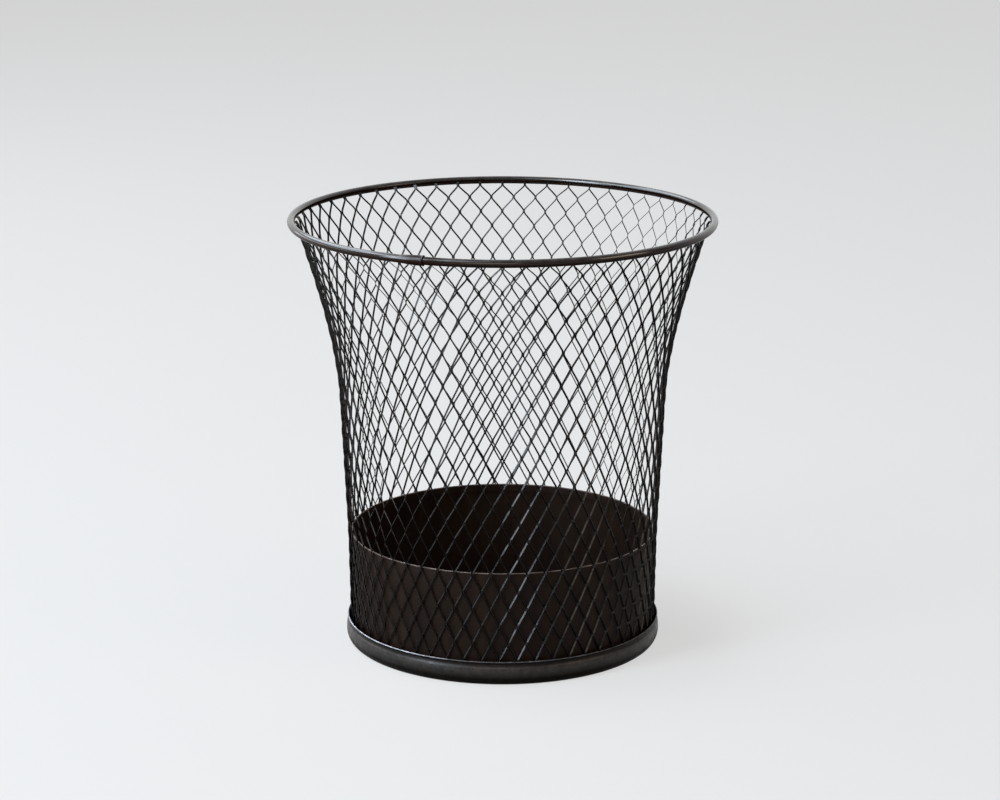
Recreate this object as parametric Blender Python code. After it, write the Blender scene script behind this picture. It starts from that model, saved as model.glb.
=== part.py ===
"""Wastebasket with an expanded-metal wall, for Blender 4.5.

Metres, +Z up, with the origin on the floor under the middle.

The wall is one sheet of slit and stretched steel, rolled into a sleeve. Its lower edge stands in the
foot ring, and its upper edge hooks into the slit of a rolled rim tube. A sheet band lines the lowest
quarter, and a pressed floor closes the bottom.
"""

import math

import bmesh
import bpy

# Overall
BASKET_HEIGHT = 0.330  # to the top of the plain rim tube
RIM_DIAMETER = 0.3224
SEAT_GAP = 0.0003  # between pieces that touch
RING_SEGMENTS = 42  # flats on every turned piece
FRONT = -math.pi / 2  # the side that the rim's joint is measured from

# Wall profile, as radii of the sleeve's outer face
WALL_FOOT_RADIUS = 0.1175
WALL_LINER_RADIUS = 0.1192  # at the top of the liner
WALL_WAIST_RADIUS = 0.1242
WAIST_HEIGHT = 0.190  # where the flare starts
FLARE_TOP_SLOPE = 0.32  # outward run for each metre up, just under the rim

# Expanded mesh
MESH_COLUMNS = 42
MESH_ROWS = 18
MESH_DEPTH = 0.0024  # raised thickness of the sheet, inside to outside
BOND_WIDTH = 0.0015  # across a bond's inner edge, where four strands meet
BOND_LENGTH = 0.0030
STRAND_LEAN = 0.0018  # how far a strand's outer edge stands sideways of its inner edge

# Rim tube
RIM_TUBE_WIDTH = 0.0058
RIM_TUBE_HEIGHT = 0.0052
RIM_SHEET = 0.0007
RIM_SLIT_TOP = math.radians(165)  # round the section, from outward through up to inward
RIM_SLIT_BOTTOM = math.radians(205)
RIM_HOOK_DEPTH = 0.0015  # how far the mesh reaches into the slit
RIM_JOINT_ANGLE = math.radians(-21.4)  # from the front, towards the left
RIM_SOCKET_LENGTH = 0.018  # the swollen end that takes the other one
RIM_SOCKET_SWELL = 0.0006
RIM_SPIGOT_LENGTH = 0.009  # the end that is squeezed to fit in the socket
RIM_NECK_LENGTH = 0.0015  # taper from the spigot to the plain tube
RIM_OUTER_STEPS = 8  # round the section's outer face
RIM_INNER_STEPS = 6
RIM_SOCKET_STEPS = 3

# Foot ring
FOOT_DIAMETER = 0.2412
FOOT_SHEET = 0.0008
FOOT_LIP_TOP = 0.0183
FOOT_BEAD_HEIGHT = 0.0148
FOOT_FLANGE_RADIUS = 0.1075  # inner edge of the flange that everything stands on
FOOT_OUTER_STEPS = 8  # round the bead's outer face
FOOT_INNER_STEPS = 6

# Liner and floor
LINER_HEIGHT = 0.086
LINER_SHEET = 0.0008
LINER_HEM = 0.0022
FLOOR_HEIGHT = 0.0058
FLOOR_SHEET = 0.0008
FLOOR_CORNER = 0.0016
FLOOR_CORNER_STEPS = 2

# Enamel
MESH_BLACK = (0.012, 0.012, 0.013)
RIM_GREY = (0.055, 0.050, 0.047)
FOOT_GREY = (0.045, 0.046, 0.049)
LINER_BROWN = (0.018, 0.014, 0.012)
FLOOR_BLACK = (0.012, 0.011, 0.011)

FLAT = math.cos(math.pi / RING_SEGMENTS)  # radius of a flat, as a share of its corners' radius


def clear_scene():
    for obj in list(bpy.data.objects):
        bpy.data.objects.remove(obj, do_unlink=True)


def enamel(name, colour, roughness):
    """A painted-steel material."""
    material = bpy.data.materials.new(name)
    material.use_nodes = True
    shader = material.node_tree.nodes["Principled BSDF"]
    shader.inputs["Base Color"].default_value = (*colour, 1.0)
    shader.inputs["Roughness"].default_value = roughness
    shader.inputs["Metallic"].default_value = 0.0
    return material


def add_object(name, mesh, material):
    obj = bpy.data.objects.new(name, mesh)
    obj.data.materials.append(material)
    bpy.context.scene.collection.objects.link(obj)
    return obj


def turned(name, profile, material):
    """A closed (radius, height) outline turned about the axis, its corners in line with the mesh's bonds."""
    mesh = bpy.data.meshes.new(name)
    points = [(radius, 0.0, height) for radius, height in profile]
    edges = [(i, (i + 1) % len(points)) for i in range(len(points))]
    if profile[0][0] == 0.0 and profile[-1][0] == 0.0:
        edges.pop()
    mesh.from_pydata(points, edges, [])
    obj = add_object(name, mesh, material)
    obj.rotation_euler.z = FRONT
    screw = obj.modifiers.new("turn", "SCREW")
    screw.steps = RING_SEGMENTS
    screw.render_steps = RING_SEGMENTS
    screw.use_merge_vertices = True
    screw.merge_threshold = 0.00001
    screw.use_smooth_shade = True
    return obj


def rim_inner_radius():
    return RIM_DIAMETER / 2 - RIM_TUBE_WIDTH


def rim_middle_height():
    return BASKET_HEIGHT - RIM_TUBE_HEIGHT / 2


def slit_height():
    """Height of the middle of the rim's slit."""
    middle = (RIM_SLIT_TOP + RIM_SLIT_BOTTOM) / 2
    return rim_middle_height() + RIM_TUBE_HEIGHT / 2 * math.sin(middle)


def mesh_top():
    """Height of the uppermost bonds, just under the slit they hook into."""
    return slit_height() - RIM_HOOK_DEPTH / 2


def mesh_bottom():
    """Height of the lowest bonds, whose tips stand on the foot ring's flange."""
    return FOOT_SHEET + SEAT_GAP + BOND_LENGTH / 2


def wall_radius(height):
    """Outer radius of the mesh sleeve: two straight cones, then a flare that runs up to the rim."""
    if height <= LINER_HEIGHT:
        share = height / LINER_HEIGHT
        return WALL_FOOT_RADIUS + (WALL_LINER_RADIUS - WALL_FOOT_RADIUS) * share
    slope = (WALL_WAIST_RADIUS - WALL_LINER_RADIUS) / (WAIST_HEIGHT - LINER_HEIGHT)
    if height <= WAIST_HEIGHT:
        return WALL_LINER_RADIUS + slope * (height - LINER_HEIGHT)
    rise = mesh_top() - WAIST_HEIGHT
    t = (height - WAIST_HEIGHT) / rise
    top_radius = rim_inner_radius() - RIM_SOCKET_SWELL - SEAT_GAP
    return (
        WALL_WAIST_RADIUS * (2 * t**3 - 3 * t**2 + 1)
        + slope * rise * (t**3 - 2 * t**2 + t)
        + top_radius * (3 * t**2 - 2 * t**3)
        + FLARE_TOP_SLOPE * rise * (t**3 - t**2)
    )


def next_row(height, strand):
    """Height of the row of bonds one strand's length further up the wall."""
    low, high = height, height + strand
    for _ in range(40):
        middle = (low + high) / 2
        rise = middle - height
        run = wall_radius(middle) - wall_radius(height)
        across = math.pi * (wall_radius(middle) + wall_radius(height)) / 2 / MESH_COLUMNS
        if math.hypot(rise, run, across) < strand:
            low = middle
        else:
            high = middle
    return (low + high) / 2


def row_heights():
    """Heights of the bonds. All strands have one length, so the diamonds widen and shorten in the flare."""
    shortest = math.pi * rim_inner_radius() / MESH_COLUMNS
    low, high = shortest, shortest + BASKET_HEIGHT / MESH_ROWS
    for _ in range(40):
        strand = (low + high) / 2
        heights = [mesh_bottom()]
        for _ in range(MESH_ROWS):
            heights.append(next_row(heights[-1], strand))
        if heights[-1] < mesh_top():
            low = strand
        else:
            high = strand
    return heights


def wall_point(angle, height, inset=0.0, sideways=0.0):
    """A point on the wall, inset towards the axis and moved sideways round it."""
    radius = wall_radius(height) - inset
    turn = angle + sideways / radius
    return (radius * math.cos(turn), radius * math.sin(turn), height)


def bond_angle(row, column):
    return FRONT + (column + row % 2 / 2) * 2 * math.pi / MESH_COLUMNS


def add_bond(body, heights, row, column):
    """The five corners where four strands meet: one on the outer ridge, four at the holes round it."""
    angle = bond_angle(row, column)
    height = heights[row]
    lean = STRAND_LEAN / 2
    half_width = BOND_WIDTH / 2
    half_length = BOND_LENGTH / 2
    corners = {
        "ridge": wall_point(angle, height, sideways=lean),
        "left": wall_point(angle, height, MESH_DEPTH, -lean - half_width),
        "right": wall_point(angle, height, MESH_DEPTH, half_width - lean),
        "down": wall_point(angle, height - half_length, MESH_DEPTH, -lean),
        "up": wall_point(angle, height + half_length, MESH_DEPTH, -lean),
    }
    if row == MESH_ROWS:
        radius = rim_inner_radius() + RIM_HOOK_DEPTH
        corners["up"] = (radius * math.cos(angle), radius * math.sin(angle), slit_height())
    return {name: body.verts.new(point) for name, point in corners.items()}


def add_strand(body, start, end, start_side, end_side):
    """A three-sided strand from one bond up to the next. The sides are those of the holes that it parts."""
    body.faces.new((start["up"], start[start_side], end["down"], end[end_side]))
    body.faces.new((start["ridge"], start["up"], end[end_side], end["ridge"]))
    body.faces.new((start["ridge"], end["ridge"], end["down"], start[start_side]))


def close_bond_end(body, bond, tip):
    body.faces.new((bond["ridge"], bond["left"], bond[tip]))
    body.faces.new((bond["ridge"], bond[tip], bond["right"]))


def make_mesh_wall(material):
    """The expanded sleeve: rows of bonds, each row half a diamond round from the one below."""
    body = bmesh.new()
    heights = row_heights()
    bonds = [
        [add_bond(body, heights, row, column) for column in range(MESH_COLUMNS)]
        for row in range(MESH_ROWS + 1)
    ]
    for row, bonds_here in enumerate(bonds):
        for column, bond in enumerate(bonds_here):
            body.faces.new((bond["left"], bond["down"], bond["right"], bond["up"]))
            if row == MESH_ROWS:
                continue
            right = (column + row % 2) % MESH_COLUMNS
            left = (right - 1) % MESH_COLUMNS
            add_strand(body, bond, bonds[row + 1][right], "right", "left")
            add_strand(body, bond, bonds[row + 1][left], "left", "right")
    for bottom, top in zip(bonds[0], bonds[-1]):
        close_bond_end(body, bottom, "down")
        close_bond_end(body, top, "up")
    bmesh.ops.recalc_face_normals(body, faces=body.faces)
    mesh = bpy.data.meshes.new("mesh_wall")
    body.to_mesh(mesh)
    body.free()
    return add_object("mesh_wall", mesh, material)


def tube_section(grow):
    """The rim tube's section, open at its slit, as (outward, up) from its middle, grown all round by grow."""
    sweep = RIM_SLIT_TOP + 2 * math.pi - RIM_SLIT_BOTTOM
    outline = []
    for inset, steps in ((0.0, RIM_OUTER_STEPS), (RIM_SHEET, RIM_INNER_STEPS)):
        wide = RIM_TUBE_WIDTH / 2 + grow - inset
        high = RIM_TUBE_HEIGHT / 2 + grow - inset
        arc = []
        for i in range(steps + 1):
            turn = RIM_SLIT_TOP - sweep * i / steps
            arc.append((wide * math.cos(turn), high * math.sin(turn)))
        outline += arc if inset == 0.0 else arc[::-1]
    return outline


def socket_swell(length):
    """Growth of the tube at this length back from the socket's mouth."""
    if length >= RIM_SOCKET_LENGTH:
        return 0.0
    return RIM_SOCKET_SWELL * math.cos(math.pi / 2 * length / RIM_SOCKET_LENGTH)


def rim_stations():
    """Angles round the rim with the section's growth at each: spigot, plain tube, then the swollen socket."""
    radius = RIM_DIAMETER / 2 - RIM_TUBE_WIDTH / 2
    joint = FRONT + RIM_JOINT_ANGLE
    fit = RIM_SHEET + SEAT_GAP
    stations = [
        (joint - RIM_SPIGOT_LENGTH / radius, socket_swell(RIM_SPIGOT_LENGTH) - fit),
        (joint + SEAT_GAP / radius, RIM_SOCKET_SWELL - fit),
        (joint + (SEAT_GAP + RIM_NECK_LENGTH) / radius, 0.0),
    ]
    step = 2 * math.pi / RING_SEGMENTS
    plain_end = joint + 2 * math.pi - RIM_SOCKET_LENGTH / radius
    first = math.ceil((stations[-1][0] + step / 3 - FRONT) / step)
    last = math.floor((plain_end - step / 3 - FRONT) / step)
    for i in range(first, last + 1):
        stations.append((FRONT + i * step, 0.0))
    for i in range(RIM_SOCKET_STEPS + 1):
        length = RIM_SOCKET_LENGTH * (1 - i / RIM_SOCKET_STEPS)
        stations.append((joint + 2 * math.pi - length / radius, socket_swell(length)))
    return stations


def make_rim_tube(material):
    """The rolled tube: its section swept round the rim, with one end plugged into the other."""
    body = bmesh.new()
    middle = RIM_DIAMETER / 2 - RIM_TUBE_WIDTH / 2
    rings = []
    for angle, grow in rim_stations():
        ring = []
        for outward, up in tube_section(grow):
            radius = middle + outward
            point = (radius * math.cos(angle), radius * math.sin(angle), rim_middle_height() + up)
            ring.append(body.verts.new(point))
        rings.append(ring)
    for ring, following in zip(rings, rings[1:]):
        for i, corner in enumerate(ring):
            after = (i + 1) % len(ring)
            body.faces.new((corner, ring[after], following[after], following[i]))
    body.faces.new(rings[0][::-1])
    body.faces.new(rings[-1])
    bmesh.ops.recalc_face_normals(body, faces=body.faces)
    mesh = bpy.data.meshes.new("rim_tube")
    body.to_mesh(mesh)
    body.free()
    return add_object("rim_tube", mesh, material)


def bead_arc(inset, steps):
    """The foot's half-round bead, from under its lip down to the floor."""
    bulge = FOOT_DIAMETER / 2 - foot_lip_radius() - inset
    half_height = FOOT_BEAD_HEIGHT / 2
    points = []
    for i in range(steps + 1):
        turn = math.pi / 2 - math.pi * i / steps
        height = half_height + (half_height - inset) * math.sin(turn)
        points.append((foot_lip_radius() + bulge * math.cos(turn), height))
    return points


def foot_lip_radius():
    """Inner face of the lip at the ring's corners, so that its flats clear the mesh."""
    return (wall_radius(FOOT_LIP_TOP) + SEAT_GAP) / FLAT


def make_foot_ring(material):
    """One strip of sheet: a lip that hugs the mesh, a half-round bead, and a flange turned in below."""
    lip = foot_lip_radius()
    outer = bead_arc(0.0, FOOT_OUTER_STEPS)[1:-1]
    inner = bead_arc(FOOT_SHEET, FOOT_INNER_STEPS)[1:-1]
    lip_bottom = outer[0][1]
    profile = [(lip, FOOT_LIP_TOP), (lip + FOOT_SHEET, FOOT_LIP_TOP), (lip + FOOT_SHEET, lip_bottom)]
    profile += outer[1:]
    profile += [(lip, 0.0), (FOOT_FLANGE_RADIUS, 0.0), (FOOT_FLANGE_RADIUS, FOOT_SHEET)]
    profile += [(lip, FOOT_SHEET)]
    profile += inner[::-1]
    return turned("foot_ring", profile, material)


def liner_radius(height):
    """Outer face of the liner at its corners, just inside the mesh all the way up."""
    return wall_radius(height) - MESH_DEPTH - SEAT_GAP


def make_liner(material):
    """The sheet band inside the mesh, with its top edge folded in."""
    bottom = FOOT_SHEET + SEAT_GAP
    top = LINER_HEIGHT
    fold = top - LINER_HEM
    profile = [
        (liner_radius(top), top),
        (liner_radius(bottom), bottom),
        (liner_radius(bottom) - LINER_SHEET, bottom),
        (liner_radius(fold) - LINER_SHEET, fold),
        (liner_radius(fold) - 2 * LINER_SHEET, fold),
        (liner_radius(top) - 2 * LINER_SHEET, top),
    ]
    return turned("liner_band", profile, material)


def make_floor(material):
    """The pressed floor: a raised disc with a rounded edge turned down onto the foot ring's flange."""
    skirt = (liner_radius(0.0) - LINER_SHEET) * FLAT - SEAT_GAP
    bottom = FOOT_SHEET + SEAT_GAP
    profile = [(0.0, FLOOR_HEIGHT)]
    for i in range(FLOOR_CORNER_STEPS + 1):
        turn = math.pi / 2 * (1 - i / FLOOR_CORNER_STEPS)
        radius = skirt - FLOOR_CORNER * (1 - math.cos(turn))
        profile.append((radius, FLOOR_HEIGHT - FLOOR_CORNER * (1 - math.sin(turn))))
    profile += [(skirt, bottom), (skirt - FLOOR_SHEET, bottom)]
    profile.append((skirt - FLOOR_SHEET, FLOOR_HEIGHT - FLOOR_CORNER))
    profile += [(skirt - FLOOR_CORNER, FLOOR_HEIGHT - FLOOR_SHEET), (0.0, FLOOR_HEIGHT - FLOOR_SHEET)]
    return turned("floor_pan", profile, material)


def main():
    clear_scene()
    make_mesh_wall(enamel("mesh_enamel", MESH_BLACK, 0.35))
    make_rim_tube(enamel("rim_enamel", RIM_GREY, 0.4))
    make_foot_ring(enamel("foot_enamel", FOOT_GREY, 0.45))
    make_liner(enamel("liner_enamel", LINER_BROWN, 0.5))
    make_floor(enamel("floor_enamel", FLOOR_BLACK, 0.5))


main()
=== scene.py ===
# Wastebasket of expanded steel mesh: the finished look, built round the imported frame.
import math
import random

import bmesh
import bpy
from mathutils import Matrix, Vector


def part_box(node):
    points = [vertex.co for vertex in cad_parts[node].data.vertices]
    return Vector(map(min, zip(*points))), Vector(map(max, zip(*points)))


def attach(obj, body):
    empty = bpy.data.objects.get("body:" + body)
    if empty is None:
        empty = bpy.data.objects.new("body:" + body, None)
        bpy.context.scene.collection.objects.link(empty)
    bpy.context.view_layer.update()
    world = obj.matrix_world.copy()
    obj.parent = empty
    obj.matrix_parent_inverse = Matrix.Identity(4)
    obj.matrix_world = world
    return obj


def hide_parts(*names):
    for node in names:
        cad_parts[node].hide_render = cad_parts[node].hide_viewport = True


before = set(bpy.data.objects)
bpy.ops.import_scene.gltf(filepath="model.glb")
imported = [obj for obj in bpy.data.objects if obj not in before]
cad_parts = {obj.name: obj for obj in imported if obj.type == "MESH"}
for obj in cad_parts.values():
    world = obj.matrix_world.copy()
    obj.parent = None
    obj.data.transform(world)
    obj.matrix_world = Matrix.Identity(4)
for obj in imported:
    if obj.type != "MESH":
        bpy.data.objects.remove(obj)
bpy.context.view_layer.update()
print("frame loaded:", ", ".join(sorted(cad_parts)))

front = -math.pi / 2  # the side that faces the camera
hair = 0.000001  # less than any real gap


# helpers for working in edit mode

def nothingSelected():
    if bpy.context.mode != "OBJECT":
        bpy.ops.object.mode_set(mode="OBJECT")
    bpy.ops.object.select_all(action="DESELECT")


def editNew(name, size=(1, 1, 1)):
    # names the primitive just added, puts its size and place in its mesh and opens it
    piece = bpy.context.object
    piece.name = name
    piece.data.name = name
    piece.scale = size
    bpy.ops.object.transform_apply(location=True, rotation=True, scale=True)
    bpy.ops.object.mode_set(mode="EDIT")
    bpy.ops.mesh.select_all(action="SELECT")
    return piece


def pick(piece, kind, wanted):
    # selects the verts or faces whose middle passes the test
    bpy.ops.mesh.select_mode(type={"verts": "VERT", "faces": "FACE"}[kind])
    bpy.ops.mesh.select_all(action="DESELECT")
    cage = bmesh.from_edit_mesh(piece.data)
    for item in getattr(cage, kind):
        middle = item.co if kind == "verts" else item.calc_center_median()
        if wanted(middle):
            item.select_set(True)
    bmesh.update_edit_mesh(piece.data)


def applyModifier(piece, kind, **settings):
    modifier = piece.modifiers.new(kind.lower(), kind)
    for key, value in settings.items():
        setattr(modifier, key, value)
    bpy.context.view_layer.objects.active = piece
    bpy.ops.object.modifier_apply(modifier=modifier.name)


def thicken(piece, sheet):
    # what is drawn is the sheet's outer side
    applyModifier(piece, "SOLIDIFY", thickness=sheet, offset=-1)


def weld(distance=0.00001):
    # joins what meets, and turns the faces out
    bpy.ops.mesh.select_mode(type="VERT")
    bpy.ops.mesh.select_all(action="SELECT")
    bpy.ops.mesh.remove_doubles(threshold=distance)
    bpy.ops.mesh.normals_make_consistent(inside=False)


def turnedSheet(name, path, steps):
    # a section of (radius, height) points, drawn point by point and spun right round
    nothingSelected()
    # small, so that its middle stays exact
    bpy.ops.mesh.primitive_plane_add(size=0.001, location=(path[0][0], 0, path[0][1]))
    piece = editNew(name)
    bpy.ops.mesh.merge(type="CENTER")
    for (radius, height), (nextRadius, nextHeight) in zip(path, path[1:]):
        move = (nextRadius - radius, 0, nextHeight - height)
        bpy.ops.mesh.extrude_vertices_move(TRANSFORM_OT_translate={"value": move})
    bpy.ops.mesh.select_all(action="SELECT")
    bpy.ops.mesh.spin(steps=steps, angle=2 * math.pi, center=(0, 0, 0), axis=(0, 0, 1))
    weld()
    bpy.ops.object.mode_set(mode="OBJECT")
    return piece


def arc(radius, height, size, start, end, steps):
    # points of a section's bend about (radius, height), in degrees from outward through up
    points = []
    for step in range(steps + 1):
        angle = math.radians(start + (end - start) * step / steps)
        points.append((radius + size * math.cos(angle), height + size * math.sin(angle)))
    return points


def between(points, at):
    # a value read off a line drawn through (place, value) points
    for (low, value), (high, nextValue) in zip(points, points[1:]):
        if at <= high:
            return value + (nextValue - value) * max(at - low, 0) / (high - low)
    return points[-1][1]


def finishPiece(piece, material, node, sharpFrom=40):
    # edges that bend by more than sharpFrom degrees stay sharp
    nothingSelected()
    piece.select_set(True)
    bpy.context.view_layer.objects.active = piece
    bpy.ops.object.shade_smooth_by_angle(angle=math.radians(sharpFrom))
    piece.data.materials.clear()
    piece.data.materials.append(material)
    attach(piece, "root")
    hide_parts(node)
    triangles = sum(len(face.vertices) - 2 for face in piece.data.polygons)
    print(piece.name, "done,", triangles, "triangles")


# nodes and limits that the enamels share

enamelRules = {
    "richNoise": (5, 0.6),  # detail and roughness
    "plainNoise": (3, 0.55),
    "mottleStops": (0.35, 0.65),
    "dustAndHighlightFacing": (0.2, 1.0),  # dust, and on some pieces a painted highlight, lies where a side faces up
    "patchStops": (0.35, 0.65),
    "patchLeast": 0.3,
    "speckEdge": (0.06, 0.12),
    "dullFacing": (-0.2, -0.04),  # sides that face down have less gloss
    "jointUnshaded": 0.25,  # the share of own colour and gloss left at the joint, under the painted shade
    "paintedHighlightEdge": 0.0001,  # height over which the painted highlight starts
    "paintedHighlightFacing": (0.3, 0.6),
    "paintedHighlightLeast": 0.12,  # the share of the painted highlight that is left on its dimmer side
    "smearStops": (0.3, 0.7),
}


def noiseAt(tree, coord, scale, kind, stretch=None):
    # kind is the noise's detail and roughness
    if stretch:
        mapping = tree.nodes.new("ShaderNodeMapping")
        mapping.inputs["Scale"].default_value = stretch
        tree.links.new(coord, mapping.inputs["Vector"])
        coord = mapping.outputs["Vector"]
    noise = tree.nodes.new("ShaderNodeTexNoise")
    noise.inputs["Scale"].default_value = scale
    noise.inputs["Detail"].default_value, noise.inputs["Roughness"].default_value = kind
    tree.links.new(coord, noise.inputs["Vector"])
    return noise.outputs["Fac"]


def rampOf(tree, factor, stops):
    ramp = tree.nodes.new("ShaderNodeValToRGB")
    bar = ramp.color_ramp
    bar.elements[0].position, bar.elements[0].color = stops[0][0], (*stops[0][1], 1)
    bar.elements[1].position, bar.elements[1].color = stops[-1][0], (*stops[-1][1], 1)
    for place, colour in stops[1:-1]:
        bar.elements.new(place).color = (*colour, 1)
    tree.links.new(factor, ramp.inputs["Fac"])
    return ramp.outputs["Color"]


def spread(tree, factor, reach, low, high):
    # the factor's reach, drawn out to low and high, and held beyond them
    node = tree.nodes.new("ShaderNodeMapRange")
    node.inputs["From Min"].default_value, node.inputs["From Max"].default_value = reach
    node.inputs["To Min"].default_value = low
    node.inputs["To Max"].default_value = high
    tree.links.new(factor, node.inputs["Value"])
    return node.outputs["Result"]


def mathOf(tree, operation, first, second):
    node = tree.nodes.new("ShaderNodeMath")
    node.operation = operation
    tree.links.new(first, node.inputs[0])
    tree.links.new(second, node.inputs[1])
    return node.outputs["Value"]


def timesOf(tree, first, second):
    return mathOf(tree, "MULTIPLY", first, second)


def plusOf(tree, first, second):
    return mathOf(tree, "ADD", first, second)


def mixOf(tree, factor, first, second):
    node = tree.nodes.new("ShaderNodeMix")
    node.data_type = "RGBA"
    tree.links.new(factor, node.inputs["Factor"])
    for socket, value in ((node.inputs["A"], first), (node.inputs["B"], second)):
        if isinstance(value, tuple):
            socket.default_value = (*value, 1)
        else:
            tree.links.new(value, socket)
    return node.outputs["Result"]


def enamel(name, look):
    # baked enamel on sheet steel: mottled, lighter where it faces up with dust and on some pieces a
    # painted highlight, with pinholes and ripple
    rules = enamelRules
    material = bpy.data.materials.new(name)
    material.use_nodes = True
    tree = material.node_tree
    shader = tree.nodes["Principled BSDF"]
    coord = tree.nodes.new("ShaderNodeTexCoord").outputs["Object"]

    mottle = noiseAt(
        tree, coord, look["mottleScale"], rules["richNoise"], look.get("mottleStretch"))
    colour = rampOf(tree, mottle, list(zip(rules["mottleStops"], (look["dark"], look["light"]))))

    facing = tree.nodes.new("ShaderNodeSeparateXYZ")
    geometry = tree.nodes.new("ShaderNodeNewGeometry")
    tree.links.new(geometry.outputs["Normal"], facing.inputs["Vector"])
    # dust and painted highlight on the faces that face up
    upward = spread(tree, facing.outputs["Z"], rules["dustAndHighlightFacing"], 0.0, look["dustAndHighlightAmount"])
    patches = noiseAt(tree, coord, look["dustAndHighlightScale"], rules["plainNoise"])
    patches = spread(tree, patches, rules["patchStops"], rules["patchLeast"], 1.0)
    colour = mixOf(tree, timesOf(tree, upward, patches), colour, look["dustAndHighlight"])

    cells = tree.nodes.new("ShaderNodeTexVoronoi")
    cells.inputs["Scale"].default_value = look["speckScale"]
    tree.links.new(coord, cells.inputs["Vector"])
    speck = spread(tree, cells.outputs["Distance"], rules["speckEdge"], look["speckAmount"], 0.0)
    colour = mixOf(tree, speck, colour, look["speck"])
    dull = look["specular"] * look["underside"]
    gloss = spread(tree, facing.outputs["Z"], rules["dullFacing"], dull, look["specular"])
    split = tree.nodes.new("ShaderNodeSeparateXYZ")
    tree.links.new(coord, split.inputs["Vector"])
    if "paintedShade" in look:
        # painted shade and less gloss, which goes by height: 0 is fully shaded, 1 is not shaded
        low, high = look["paintedShade"][0][0], look["paintedShade"][-1][0]
        share = spread(tree, split.outputs["Z"], (low, high), 0.0, 1.0)
        stops = [((at - low) / (high - low), (level,) * 3) for at, level in look["paintedShade"]]
        unshaded = rampOf(tree, share, stops)
        colour = mixOf(tree, unshaded, look["paintedShadeColour"], colour)
        gloss = timesOf(tree, gloss, unshaded)
    if "paintedShadeRound" in look:
        # painted shade and less gloss round this place
        away = tree.nodes.new("ShaderNodeVectorMath")
        away.operation = "DISTANCE"
        tree.links.new(coord, away.inputs[0])
        away.inputs[1].default_value = look["paintedShadeRound"]
        unshaded = spread(tree, away.outputs["Value"], look["paintedShadeReach"], rules["jointUnshaded"], 1.0)
        colour = mixOf(tree, unshaded, look["paintedShadeColour"], colour)
        gloss = timesOf(tree, gloss, unshaded)
    if "paintedHighlightAbove" in look:
        # a painted highlight along an upper edge, brightest on the left, where the lamps are
        reach = (look["paintedHighlightAbove"] - rules["paintedHighlightEdge"], look["paintedHighlightAbove"])
        edge = spread(tree, split.outputs["Z"], reach, 0.0, 1.0)
        edge = timesOf(tree, edge, spread(tree, facing.outputs["Z"], rules["paintedHighlightFacing"], 0.0, 1.0))
        side = spread(tree, split.outputs["X"], look["paintedHighlightSide"], 1.0, rules["paintedHighlightLeast"])
        edge = timesOf(tree, edge, side)
        colour = mixOf(tree, timesOf(tree, edge, patches), colour, look["paintedHighlight"])
    tree.links.new(gloss, shader.inputs["Specular IOR Level"])
    tree.links.new(colour, shader.inputs["Base Color"])

    smear = noiseAt(tree, coord, look["smearScale"], rules["richNoise"])
    rough = spread(tree, smear, rules["smearStops"], look["roughLow"], look["roughHigh"])
    tree.links.new(rough, shader.inputs["Roughness"])

    normal = None
    for scale, amount, depth in look["bumps"]:
        bump = tree.nodes.new("ShaderNodeBump")
        bump.inputs["Strength"].default_value = amount
        bump.inputs["Distance"].default_value = depth
        tree.links.new(noiseAt(tree, coord, scale, rules["plainNoise"]), bump.inputs["Height"])
        if normal:
            tree.links.new(normal, bump.inputs["Normal"])
        normal = bump.outputs["Normal"]
    tree.links.new(normal, shader.inputs["Normal"])
    return material


# sizes that come from the frame

rimLow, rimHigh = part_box("rim_tube")
footLow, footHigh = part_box("foot_ring")
linerLow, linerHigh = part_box("liner_band")
floorLow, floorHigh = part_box("floor_pan")


# rim: a sheet tube with a slit on its inner side, one end plugged into the other

rimTube = {
    "width": 0.0058,
    "height": 0.0059,
    "topClear": 0.0006,  # the tube's top is this far under the frame's
    "sheet": 0.0006,
    "slitFrom": 163.0,  # degrees round the section, from outward through up
    "slitTo": 206.0,
    "slitMiddle": 185.0,
    "sectionPoints": 40,
    "longSteps": 270,
    "jointTurn": -20.8,  # degrees from the front, towards the left
    "socketLength": 0.018,
    "socketSteps": 10,
    "swell": 0.0008,
    "endFlare": 0.00025,  # more than the swell, at the socket's very end
    "flareLength": 0.0006,
    "plugLength": 0.006,
    "plugSteps": 2,
    "plugSqueeze": 0.00006,
    "plugShoulder": 0.0015,  # in which the plug grows to the tube's size
    "sharpFrom": 50,
    "look": {
        "dark": (0.008, 0.0058, 0.0046), "light": (0.021, 0.016, 0.0132), "mottleScale": 70,
        "dustAndHighlight": (0.11, 0.10, 0.095), "dustAndHighlightAmount": 0.4, "dustAndHighlightScale": 160,
        "speck": (0.16, 0.14, 0.13), "speckScale": 900, "speckAmount": 0.3,
        # painted shade: the tube's lower half darker and less glossy
        "paintedShade": [
            (rimHigh.z - 0.0058, 0.1), (rimHigh.z - 0.0034, 0.35),
            (rimHigh.z - 0.0020, 1.0), (rimHigh.z, 1.0)],
        # colour of the painted shade, here and round the joint
        "paintedShadeColour": (0.016, 0.0075, 0.005),
        "paintedShadeReach": (0.009, 0.018),  # painted shade round the joint, over this distance from it
        "smearScale": 60, "roughLow": 0.11, "roughHigh": 0.24,
        "specular": 0.75, "underside": 0.18,  # the underside has this share of the gloss
        "bumps": [(45, 0.25, 0.0004), (900, 0.25, 0.00008)],
    },
}
rimMiddle = rimHigh.z - rimTube["topClear"] - rimTube["height"] / 2
slitHeight = rimMiddle + rimTube["height"] / 2 * math.sin(math.radians(rimTube["slitMiddle"]))


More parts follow.
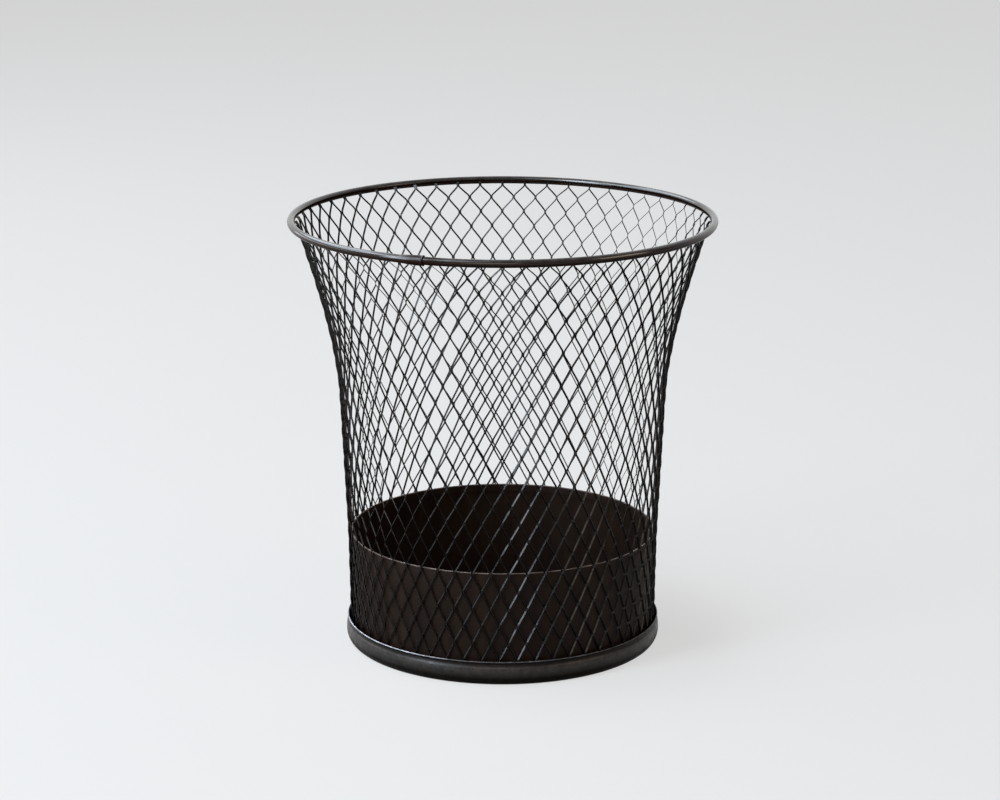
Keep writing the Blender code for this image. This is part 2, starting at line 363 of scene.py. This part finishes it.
def makeRimTube():
    turn = front + math.radians(rimTube["jointTurn"])
    outer = max(-rimLow.y, rimHigh.y)
    radius = outer - rimTube["width"] / 2
    plug = rimTube["plugLength"] / radius
    shoulder = rimTube["plugShoulder"] / radius
    socket = rimTube["socketLength"] / radius

    def middleAt(angle):
        return (radius * math.cos(angle), radius * math.sin(angle), rimMiddle)

    def inSlit(point):
        out = (math.hypot(point.x, point.y) - radius) / rimTube["width"]
        angle = math.degrees(math.atan2((point.z - rimMiddle) / rimTube["height"], out)) % 360
        return rimTube["slitFrom"] < angle < rimTube["slitTo"]

    place = turn - plug
    nothingSelected()
    bpy.ops.mesh.primitive_circle_add(
        vertices=rimTube["sectionPoints"], radius=0.5,
        location=middleAt(place), rotation=(math.pi / 2, 0, place))
    tube = editNew("rim_rolled_tube", (rimTube["width"], rimTube["height"], 1))
    pick(tube, "verts", inSlit)
    bpy.ops.mesh.delete(type="VERT")
    bpy.ops.mesh.select_all(action="SELECT")

    half = rimTube["width"] / 2
    size = 1 - rimTube["plugSqueeze"] / half
    bpy.ops.transform.resize(value=(size, size, size), center_override=middleAt(place))

    def runOn(angle, steps, newSize):
        # runs the section on round the rim, then grows its end
        nonlocal place, size
        bpy.ops.mesh.spin(steps=steps, angle=angle, center=(0, 0, 0), axis=(0, 0, -1))
        place += angle
        grow = newSize / size
        bpy.ops.transform.resize(value=(grow, grow, grow), center_override=middleAt(place))
        size = newSize

    runOn(plug, rimTube["plugSteps"], size)
    runOn(shoulder, 1, 1.0)
    runOn(2 * math.pi - shoulder - socket, rimTube["longSteps"], 1.0)
    for step in range(1, rimTube["socketSteps"] + 1):
        left = 1 - step / rimTube["socketSteps"]
        swell = rimTube["swell"] * math.cos(math.pi / 2 * left)
        runOn(socket / rimTube["socketSteps"], 1, 1 + swell / half)
    flare = rimTube["swell"] + rimTube["endFlare"]
    runOn(rimTube["flareLength"] / radius, 1, 1 + flare / half)
    weld()
    bpy.ops.object.mode_set(mode="OBJECT")
    thicken(tube, rimTube["sheet"])
    # painted shade round the joint keeps the swollen socket's end dark
    look = {**rimTube["look"], "paintedShadeRound": middleAt(turn)}
    finishPiece(tube, enamel("rim_enamel_painted_shade", look), "rim_tube",
                rimTube["sharpFrom"])
    return outer


rimOuter = makeRimTube()


# the wall's shape, which the mesh and the liner follow

wallShape = {
    "footRadius": 0.1175,
    "linerRadius": 0.1192,  # at the liner's top
    "waistRadius": 0.1242,
    "waistHeight": 0.190,  # the flare starts here
    "top": slitHeight - 0.0008,
    "topRadius": rimOuter - rimTube["width"] - 0.0001,
    "topSlope": 0.32,
    "meshDepth": 0.0026,  # the leaning ribbons' outer to inner side
    "slopeStep": 0.0005,
}


def wallRadius(height):
    # outer radius of the mesh: two straight cones, then a flare up to the rim
    shape = wallShape
    if height <= linerHigh.z:
        share = height / linerHigh.z
        return shape["footRadius"] + (shape["linerRadius"] - shape["footRadius"]) * share
    waist = shape["waistHeight"]
    slope = (shape["waistRadius"] - shape["linerRadius"]) / (waist - linerHigh.z)
    if height <= waist:
        return shape["linerRadius"] + slope * (height - linerHigh.z)
    rise = shape["top"] - waist
    t = (height - waist) / rise
    # the curve that keeps the radius and the slope of both its ends
    return (
        shape["waistRadius"] * (2 * t**3 - 3 * t**2 + 1)
        + slope * rise * (t**3 - 2 * t**2 + t)
        + shape["topRadius"] * (3 * t**2 - 2 * t**3)
        + shape["topSlope"] * rise * (t**3 - t**2)
    )


def wallSlope(height):
    step = wallShape["slopeStep"]
    return (wallRadius(height + step) - wallRadius(height - step)) / (2 * step)


# mesh wall: a slit cell is modelled once, copied over a flat sheet, then stretched and rolled

meshWall = {
    "columns": 56,
    "rows": 25,
    "strandWidth": 0.00122,
    "fallingWidth": 1.18,  # times that, on the strands that fall to the right
    "strandThickness": 0.00042,
    "bondLength": 0.0010,
    "lean": 43.0,  # degrees that each bond turns from edge-on to the wall
    "risingTwist": 7.0,  # degrees more on the strands that rise to the right
    "fallingTwist": -5.0,
    "cuts": (0.07, 0.18, 0.5, 0.82, 0.93, 1.0),  # where a strand is divided
    "lowestBond": 0.0041,
    "topBond": 0.0029,  # the top bonds are this far under the middle of the slit
    "hook": 0.0009,  # how far out the top bonds reach into the rim's slit
    "hookEnd": 0.0003,  # how far under the slit's middle they end
    "stray": 0.00022,  # each bond is off its place by up to this
    "straySeed": 4,
    "heightTries": 30,  # halvings in the search for a row's height
    "weldWithin": 0.00003,
    "endSides": 12,  # no cut end has more
    "flatSlit": 0.0002,  # sizes of a flat cell, before it is stretched
    "flatStrand": 0.012,
    # the rest goes by height: the sheet was stretched and rolled by hand, not evenly
    "bend": [(0.12, 0.09), (0.26, 0.16)],  # share of a strand over which each end bends
    "strandLength": [
        (0.0, 0.01514), (0.15, 0.01454), (0.21, 0.01536), (0.26, 0.01511), (0.33, 0.0139)],
    "backLift": [(0.0, 0.0), (0.14, 0.0049), (0.19, 0.0059), (0.24, 0.0032), (0.30, 0.0005)],
    # and so do these, which are degrees round the basket
    "seamPlace": 49,  # the sheet's two edges are joined at this bond of the odd rows
    "seamPull": [(0.04, 1.0), (0.10, 0.6), (0.16, 0.4), (0.25, 0.0)],
    "seamPinch": [(0.10, 0.3), (0.15, 1.3), (0.20, 1.2), (0.26, 0.0)],
    "drift": [(0.05, -1.3), (0.11, -0.9), (0.15, -0.15)],
    "unevenFront": [(0.10, 1.5), (0.15, 0.2), (0.22, 0.0), (0.30, -0.8)],
    "unevenBack": [(0.20, -1.6), (0.28, -2.3)],
    "look": {
        "dark": (0.0025, 0.002, 0.0018), "light": (0.0055, 0.0046, 0.0042), "mottleScale": 120,
        "dustAndHighlight": (0.04, 0.036, 0.033), "dustAndHighlightAmount": 0.12, "dustAndHighlightScale": 200,
        "speck": (0.06, 0.052, 0.048), "speckScale": 700, "speckAmount": 0.3,
        "smearScale": 180, "roughLow": 0.20, "roughHigh": 0.34,
        "specular": 0.28, "underside": 0.1,
        "bumps": [(200, 0.2, 0.0002), (1300, 0.12, 0.00004)],
    },
}


def flatCell():
    # a bond with one strand straight up from each of its halves, as the slit sheet is
    nothingSelected()
    width, thick = meshWall["strandWidth"], meshWall["strandThickness"]
    bond, strand = meshWall["bondLength"], meshWall["flatStrand"]
    bpy.ops.mesh.primitive_cube_add(size=1, location=(0, 0, 0))
    cell = editNew("mesh_wall_ribbons", (2 * width, thick, bond))
    bpy.ops.mesh.bisect(plane_co=(0, 0, 0), plane_no=(1, 0, 0))
    for side in (1, -1):
        pick(cell, "faces", lambda m: m.z > bond / 2 - hair and 0 < m.x * side < width)
        done = 0
        for cut in meshWall["cuts"]:
            apart = side * meshWall["flatSlit"] if done == 0 else 0
            move = (apart, 0, (cut - done) * strand)
            bpy.ops.mesh.extrude_region_move(TRANSFORM_OT_translate={"value": move})
            done = cut
    # open where the next bonds join on
    pick(cell, "faces", lambda m: m.z < hair - bond / 2 or m.z > bond / 2 + strand - hair)
    bpy.ops.mesh.delete(type="ONLY_FACE")
    bpy.ops.object.mode_set(mode="OBJECT")
    return cell


def bondTurn(place, height):
    # angle of a bond from the front
    turn = place / meshWall["columns"] * 2 * math.pi
    facing = (1 + math.cos(turn)) / 2
    uneven = between(meshWall["unevenFront"], height) * facing
    uneven += between(meshWall["unevenBack"], height) * (1 - facing)
    off = uneven * math.sin(turn) + between(meshWall["drift"], height) * facing
    fromSeam = place % meshWall["columns"] - meshWall["seamPlace"]
    if fromSeam >= 0:
        left = 1 - fromSeam / (meshWall["columns"] - meshWall["seamPlace"])
        off -= between(meshWall["seamPinch"], height) * left**2
    if fromSeam == 0:
        off -= between(meshWall["seamPull"], height)
    return turn + math.radians(off)


def bondRows():
    # heights of the rows, which close up where the wall is wider
    heights = [meshWall["lowestBond"]]
    for _ in range(meshWall["rows"]):
        start = heights[-1]
        strand = between(meshWall["strandLength"], start)
        low, high = start, start + strand
        # close in on the height that the strand just reaches
        for _ in range(meshWall["heightTries"]):
            middle = (low + high) / 2
            radius, startRadius = wallRadius(middle), wallRadius(start)
            across = math.pi * (radius + startRadius) / 2 / meshWall["columns"]
            reach = math.hypot(middle - start, radius - startRadius, across)
            low, high = (middle, high) if reach < strand else (low, middle)
        heights.append(low)
    heights[-1] = slitHeight - meshWall["topBond"]
    return heights


def bendShare(t, bend):
    # how far sideways a strand has gone: it leaves one bond and meets the next in line
    if t < bend:
        return t * t / (2 * bend * (1 - bend))
    if t > 1 - bend:
        return 1 - (1 - t) ** 2 / (2 * bend * (1 - bend))
    return (t - bend / 2) / (1 - bend)


def bendSlope(t, bend):
    return min(t, bend, 1 - t) / (bend * (1 - bend))


def onWall(turn, height, out, aside, along):
    # a point set off from the wall's middle surface
    slope = math.atan(wallSlope(height))
    radius = wallRadius(height) - wallShape["meshDepth"] / 2
    radius += out * math.cos(slope) + along * math.sin(slope)
    height += along * math.cos(slope) - out * math.sin(slope)
    angle = front + turn + aside / radius
    return Vector((radius * math.cos(angle), radius * math.sin(angle), height))


def makeMeshWall():
    cell = flatCell()
    columns, rows = meshWall["columns"], meshWall["rows"]
    bond, strand, slit = meshWall["bondLength"], meshWall["flatStrand"], meshWall["flatSlit"]
    half = meshWall["strandWidth"] / 2
    wide, tall = 8 * half, strand + 2 * bond  # spacing of the flat cells
    applyModifier(cell, "ARRAY", count=columns, use_relative_offset=False,
                  use_constant_offset=True, constant_offset_displace=(wide, 0, 0))
    applyModifier(cell, "ARRAY", count=rows + 1, use_relative_offset=False,
                  use_constant_offset=True, constant_offset_displace=(0, 0, tall))
    nothingSelected()
    bpy.context.view_layer.objects.active = cell
    bpy.ops.object.mode_set(mode="EDIT")
    pick(cell, "verts", lambda m: m.z > rows * tall + bond / 2 + hair)  # no strand over the rim
    bpy.ops.mesh.delete(type="VERT")
    bpy.ops.object.mode_set(mode="OBJECT")

    heights = bondRows()
    dice = random.Random(meshWall["straySeed"])
    stray = meshWall["stray"]
    strays = [[(dice.uniform(-stray, stray), dice.uniform(-stray, stray))
               for _ in range(columns)] for _ in range(rows + 1)]
    lean = math.radians(meshWall["lean"])

    def bondPlace(row, column):
        aside, up = strays[row][column % columns] if 0 < row < rows else (0, 0)
        height = heights[row] + up
        turn = bondTurn(column + 0.5 - (row % 2) / 2, height) + aside / wallRadius(height)
        height += between(meshWall["backLift"], height) * (1 - math.cos(turn)) / 2
        return turn, height

    for vertex in cell.data.vertices:
        row = int((vertex.co.z + bond) / tall)
        column = round(vertex.co.x / wide)
        x, y, z = vertex.co.x - column * wide, vertex.co.y, vertex.co.z - row * tall
        turn, height = bondPlace(row, column)
        if z < bond / 2 + hair:
            aside = x * math.sin(lean) + y * math.cos(lean)
            out = x * math.cos(lean) - y * math.sin(lean)
            if row == rows and z > 0:
                out, z = out + meshWall["hook"], meshWall["topBond"] - meshWall["hookEnd"]
            vertex.co = onWall(turn, height, out, aside, z)
            continue
        # a strand crosses from one half of its bond to the other half of the next
        side = 1 if x > 0 else -1
        t = (z - bond / 2) / strand
        x -= side * (half + slit)
        bend = between(meshWall["bend"], height)
        clear = min(1, t / bend, (1 - t) / bend)
        if side < 0:
            x *= 1 + (meshWall["fallingWidth"] - 1) * clear
        twist = meshWall["risingTwist" if side > 0 else "fallingTwist"]
        own = lean + math.radians(twist) * clear
        nextColumn = column + (side + 1) // 2 - row % 2
        nextTurn, nextHeight = bondPlace(row + 1, nextColumn)
        share = bendShare(t, bend)
        middle = side * half * (1 - 2 * share)
        across = (nextTurn - turn) * wallRadius((height + nextHeight) / 2) * bendSlope(t, bend)
        tilt = math.atan2(across, nextHeight - height - bond)
        ownAside = x * math.sin(own) + y * math.cos(own)
        ownOut = x * math.cos(own) - y * math.sin(own)
        vertex.co = onWall(
            turn + (nextTurn - turn) * share,
            height + (nextHeight - height) * t,
            middle * math.cos(lean) + ownOut,
            middle * math.sin(lean) + ownAside * math.cos(tilt),
            bond / 2 * (1 - 2 * t) - ownAside * math.sin(tilt))

    nothingSelected()
    bpy.context.view_layer.objects.active = cell
    bpy.ops.object.mode_set(mode="EDIT")
    weld(meshWall["weldWithin"])
    # close the cut ends in the foot ring and in the rim's slit
    bpy.ops.mesh.select_all(action="DESELECT")
    bpy.ops.mesh.select_non_manifold()
    bpy.ops.mesh.fill_holes(sides=meshWall["endSides"])
    bpy.ops.object.mode_set(mode="OBJECT")
    finishPiece(cell, enamel("mesh_enamel_satin", meshWall["look"]), "mesh_wall")


makeMeshWall()


# foot ring: a formed sheet with a lip over the mesh, a round bead and a flange turned in below

footRing = {
    "sheet": 0.0008,
    "clear": 0.0003,  # from the mesh
    "lipFlare": 0.0009,
    # down from the lip's top, and the share of its flare
    "lip": [(0.0003, 1.0), (0.0009, 0.45), (0.0014, 0.1), (0.0019, 0.0)],
    "shoulderHeight": 0.0147,
    "shoulderOut": 0.0002,
    "shoulderEase": (0.0012, 0.0005),  # it bends out between these, over the shoulder
    "beadCentre": 0.0070,  # height of the bead's widest place
    "beadSteps": 8,
    "underRound": 0.0048,
    "flangeFlat": 0.003,
    "flangeIn": 0.1078,
    "steps": 240,
    "look": {
        "dark": (0.005, 0.0042, 0.0036), "light": (0.025, 0.020, 0.017), "mottleScale": 240,
        # dust and painted highlight on the bead's upward shoulder
        "dustAndHighlight": (0.24, 0.20, 0.175), "dustAndHighlightAmount": 0.4, "dustAndHighlightScale": 260,
        "speck": (0.12, 0.11, 0.10), "speckScale": 700, "speckAmount": 0.4,
        # painted shade: dark in the groove under the lip and under the bead, where shade falls
        "paintedShade": [
            (0.0, 0.1), (0.006, 0.25), (0.0095, 0.7), (0.0115, 1.0),
            (0.0135, 1.0), (0.0149, 0.3), (0.0170, 0.3), (0.0179, 0.45)],
        # colour of the painted shade
        "paintedShadeColour": (0.004, 0.003, 0.0026),
        "smearScale": 210, "roughLow": 0.26, "roughHigh": 0.55,
        # painted highlight: a thin bluish-white line along the lip's top edge
        "paintedHighlightAbove": 0.0178, "paintedHighlight": (0.42, 0.42, 0.45),
        "paintedHighlightSide": (-0.066, -0.034),  # painted highlight brightest left of this, dimmest right of it
        "specular": 0.38, "underside": 0.3,
        "bumps": [(35, 0.3, 0.0005), (700, 0.3, 0.0001)],
    },
}


def makeFootRing():
    outer = max(-footLow.y, footHigh.y)
    lip = footHigh.z
    band = wallRadius(lip) + footRing["clear"] + footRing["sheet"]
    shoulder, centre = footRing["shoulderHeight"], footRing["beadCentre"]
    path = [(band + footRing["lipFlare"] * share, lip - down) for down, share in footRing["lip"]]
    first, last = footRing["shoulderEase"]
    bead = band + footRing["shoulderOut"]
    path += [(band, shoulder + first), (bead, shoulder + last)]
    # a quarter of an oval above the bead's widest place, and a rounder one below it
    steps = footRing["beadSteps"]
    reach = outer - band - footRing["shoulderOut"]
    for step in range(1, steps + 1):
        angle = math.radians(90 - 90 * step / steps)
        height = centre + (shoulder - centre) * math.sin(angle)
        path.append((bead + reach * math.cos(angle), height))
    for step in range(1, steps + 1):
        angle = math.radians(90 * step / steps)
        inward = footRing["underRound"] * (1 - math.cos(angle))
        path.append((outer - inward, centre * (1 - math.sin(angle))))
    flange = footRing["flangeIn"]
    path += [(flange + footRing["flangeFlat"], 0.0), (flange, 0.0)]
    ring = turnedSheet("foot_beaded_ring", path, footRing["steps"])
    thicken(ring, footRing["sheet"])
    # the ring's enamel has a painted highlight on the lip and painted shade in the groove and under
    # the bead
    finishPiece(ring, enamel("foot_enamel_painted_light", footRing["look"]), "foot_ring")


makeFootRing()


# liner: a plain band of sheet inside the mesh, its top edge folded in

linerBand = {
    "clear": 0.0027,  # from the mesh's outer side
    "sheet": 0.0007,
    "bandSteps": 5,
    "hemDepth": 0.0016,
    "hemFold": 0.006,  # how far down the folded edge reaches
    "hemLean": 0.0001,
    "foldSteps": 8,
    "steps": 240,
    "look": {
        "dark": (0.0068, 0.0033, 0.0021), "light": (0.014, 0.0072, 0.0044), "mottleScale": 110,
        "mottleStretch": (1, 1, 0.15),
        # dust and painted highlight on the hem's upward top: a bright line, partly rubbed paint
        "dustAndHighlight": (0.28, 0.22, 0.195), "dustAndHighlightAmount": 0.9, "dustAndHighlightScale": 120,
        "speck": (0.09, 0.08, 0.075), "speckScale": 330, "speckAmount": 0.35,
        "smearScale": 25, "roughLow": 0.42, "roughHigh": 0.60,
        "specular": 0.1, "underside": 0.5,
        "bumps": [(14, 0.25, 0.0008), (600, 0.2, 0.00008)],
    },
}


def makeLinerBand():
    top, bottom = linerHigh.z, linerLow.z
    clear, steps = linerBand["clear"], linerBand["bandSteps"]
    fold = linerBand["hemDepth"] / 2
    path = []
    for step in range(steps + 1):
        height = bottom + (top - fold - bottom) * step / steps
        path.append((wallRadius(height) - clear, height))
    path += arc(path[-1][0] - fold, top - fold, fold, 0, 180, linerBand["foldSteps"])[1:]
    path.append((path[-1][0] - linerBand["hemLean"], top - linerBand["hemFold"]))
    band = turnedSheet("liner_sheet", path, linerBand["steps"])
    thicken(band, linerBand["sheet"])
    finishPiece(
        band, enamel("liner_enamel_satin", linerBand["look"]), "liner_band")


makeLinerBand()


# floor pan: a pressed disc with a raised outer ring and a short skirt

floorPan = {
    "sheet": 0.0008,
    "corner": 0.0016,
    "cornerSteps": 6,
    "cornerFlat": 0.006,
    "sunk": 0.0010,
    "ringFrom": 0.084,  # the middle of the pressed step
    # out from there, and the share of the depth that the middle is sunk
    "press": [(-0.004, 1.0), (-0.002, 0.85), (0.0, 0.4), (0.002, 0.05), (0.004, 0.0)],
    "steps": 180,
    "look": {
        "dark": (0.009, 0.008, 0.008), "light": (0.018, 0.016, 0.015), "mottleScale": 28,
        "dustAndHighlight": (0.11, 0.10, 0.09), "dustAndHighlightAmount": 0.25, "dustAndHighlightScale": 60,
        "speck": (0.13, 0.12, 0.11), "speckScale": 260, "speckAmount": 0.5,
        "smearScale": 22, "roughLow": 0.40, "roughHigh": 0.6,
        "specular": 0.4, "underside": 0.5,
        "bumps": [(12, 0.3, 0.0012), (500, 0.2, 0.0001)],
    },
}


def makeFloorPan():
    top, bottom = floorHigh.z, floorLow.z
    outer = max(floorHigh.y, -floorLow.y)
    corner, sunk, ring = floorPan["corner"], floorPan["sunk"], floorPan["ringFrom"]
    path = [(0, top - sunk), (ring / 2, top - sunk)]
    path += [(ring + out, top - sunk * share) for out, share in floorPan["press"]]
    path.append((outer - corner - floorPan["cornerFlat"], top))
    path += arc(outer - corner, top - corner, corner, 90, 0, floorPan["cornerSteps"])
    path.append((outer, bottom))
    pan = turnedSheet("floor_disc", path, floorPan["steps"])
    thicken(pan, floorPan["sheet"])
    finishPiece(pan, enamel("floor_enamel_satin", floorPan["look"]), "floor_pan")


makeFloorPan()


# studio: pale floor, white world, cool light from the left and above, weak warm light
# from the front and the right

studio = {
    "floorSize": 30.0,
    "floorColour": (0.17, 0.168, 0.165),
    "floorRough": 0.9,
    "floorGlow": 0.59,  # seen by the camera, and mirrored
    "white": (1.0, 1.0, 1.0),
    "ambient": (0.22, 0.22, 0.23),
    "mirrored": (0.10, 0.10, 0.11),  # what gloss sees away from the backdrop
    "backdrop": (0.1, 0.9),  # towards the back, gloss sees white from here on
    "camera": (-0.002, -2.181, 0.767),
    "cameraTilt": 14.9,
    "lens": 106.74,
    "sensor": 36,
    # name, place, aim, width and height, power, colour
    "lamps": [
        ("window_left", (-1.93, -1.35, 1.55), (0, 0, 0.2), (0.8, 2.6), 84, (0.78, 0.89, 1.0)),
        ("sky_left", (-1.78, 0.88, 1.97), (0, 0, 0.3), (3.2, 1.3), 60, (0.80, 0.90, 1.0)),
        ("wall_left_behind", (-2.26, 0.82, 0.55), (0, 0, 0.2), (2.6, 0.6), 11, (0.90, 0.95, 1.0)),
        ("sky_above", (-1.25, -0.70, 2.15), (0, 0, 0.25), (2.0, 1.4), 24, (0.85, 0.93, 1.0)),
        ("room_in_front", (-0.35, -3.1, 1.15), (0, 0, 0.15), (1.6, 0.8), 14, (1.0, 0.86, 0.72)),
        ("fill_right", (2.2, -1.0, 1.2), (0, 0, 0.15), (1.2, 1.2), 15, (1.0, 0.84, 0.68)),
    ],
}


def addLamp(name, place, aim, size, power, colour):
    nothingSelected()
    bpy.ops.object.light_add(type="AREA", location=place)
    lamp = bpy.context.object
    lamp.name = name
    lamp.data.shape = "RECTANGLE"
    lamp.data.size, lamp.data.size_y = size
    lamp.data.energy = power
    lamp.data.color = colour
    lamp.visible_camera = False
    lamp.rotation_euler = (Vector(aim) - Vector(place)).to_track_quat("-Z", "Y").to_euler()


def addFloor():
    nothingSelected()
    bpy.ops.mesh.primitive_plane_add(size=studio["floorSize"], location=(0, 0, 0))
    floor = bpy.context.object
    floor.name = "studio_floor"
    material = bpy.data.materials.new("studio_floor_paper")
    material.use_nodes = True
    tree = material.node_tree
    shader = tree.nodes["Principled BSDF"]
    shader.inputs["Base Color"].default_value = (*studio["floorColour"], 1)
    shader.inputs["Roughness"].default_value = studio["floorRough"]
    shader.inputs["Specular IOR Level"].default_value = 0.0
    shader.inputs["Emission Color"].default_value = (*studio["white"], 1)
    rays = tree.nodes.new("ShaderNodeLightPath")
    seen = plusOf(tree, rays.outputs["Is Camera Ray"], rays.outputs["Is Glossy Ray"])
    seen = plusOf(tree, seen, rays.outputs["Is Transmission Ray"])
    glow = spread(tree, seen, (0, 1), 0, studio["floorGlow"])
    tree.links.new(glow, shader.inputs["Emission Strength"])
    floor.data.materials.append(material)


def addWorld():
    # dim to the object, white to the camera and where gloss mirrors what is behind
    world = bpy.data.worlds.new("studio_world")
    bpy.context.scene.world = world
    world.use_nodes = True
    tree = world.node_tree
    rays = tree.nodes.new("ShaderNodeLightPath")
    coord = tree.nodes.new("ShaderNodeTexCoord").outputs["Generated"]
    split = tree.nodes.new("ShaderNodeSeparateXYZ")
    tree.links.new(coord, split.inputs["Vector"])
    white = studio["white"]
    behind = spread(tree, split.outputs["Y"], studio["backdrop"], 0.0, 1.0)
    gloss = mixOf(tree, behind, studio["mirrored"], white)
    colour = mixOf(tree, rays.outputs["Is Glossy Ray"], studio["ambient"], gloss)
    colour = mixOf(tree, rays.outputs["Is Transmission Ray"], colour, white)
    colour = mixOf(tree, rays.outputs["Is Camera Ray"], colour, white)
    tree.links.new(colour, tree.nodes["Background"].inputs["Color"])


def addCamera():
    nothingSelected()
    bpy.ops.object.camera_add(
        location=studio["camera"], rotation=(math.radians(90 - studio["cameraTilt"]), 0, 0))
    camera = bpy.context.object
    camera.data.lens = studio["lens"]
    camera.data.sensor_width = studio["sensor"]
    camera.data.sensor_fit = "HORIZONTAL"
    bpy.context.scene.camera = camera


addFloor()
addWorld()
for lamp in studio["lamps"]:
    addLamp(*lamp)
addCamera()
bpy.context.scene.view_settings.view_transform = "Standard"
print("studio done")
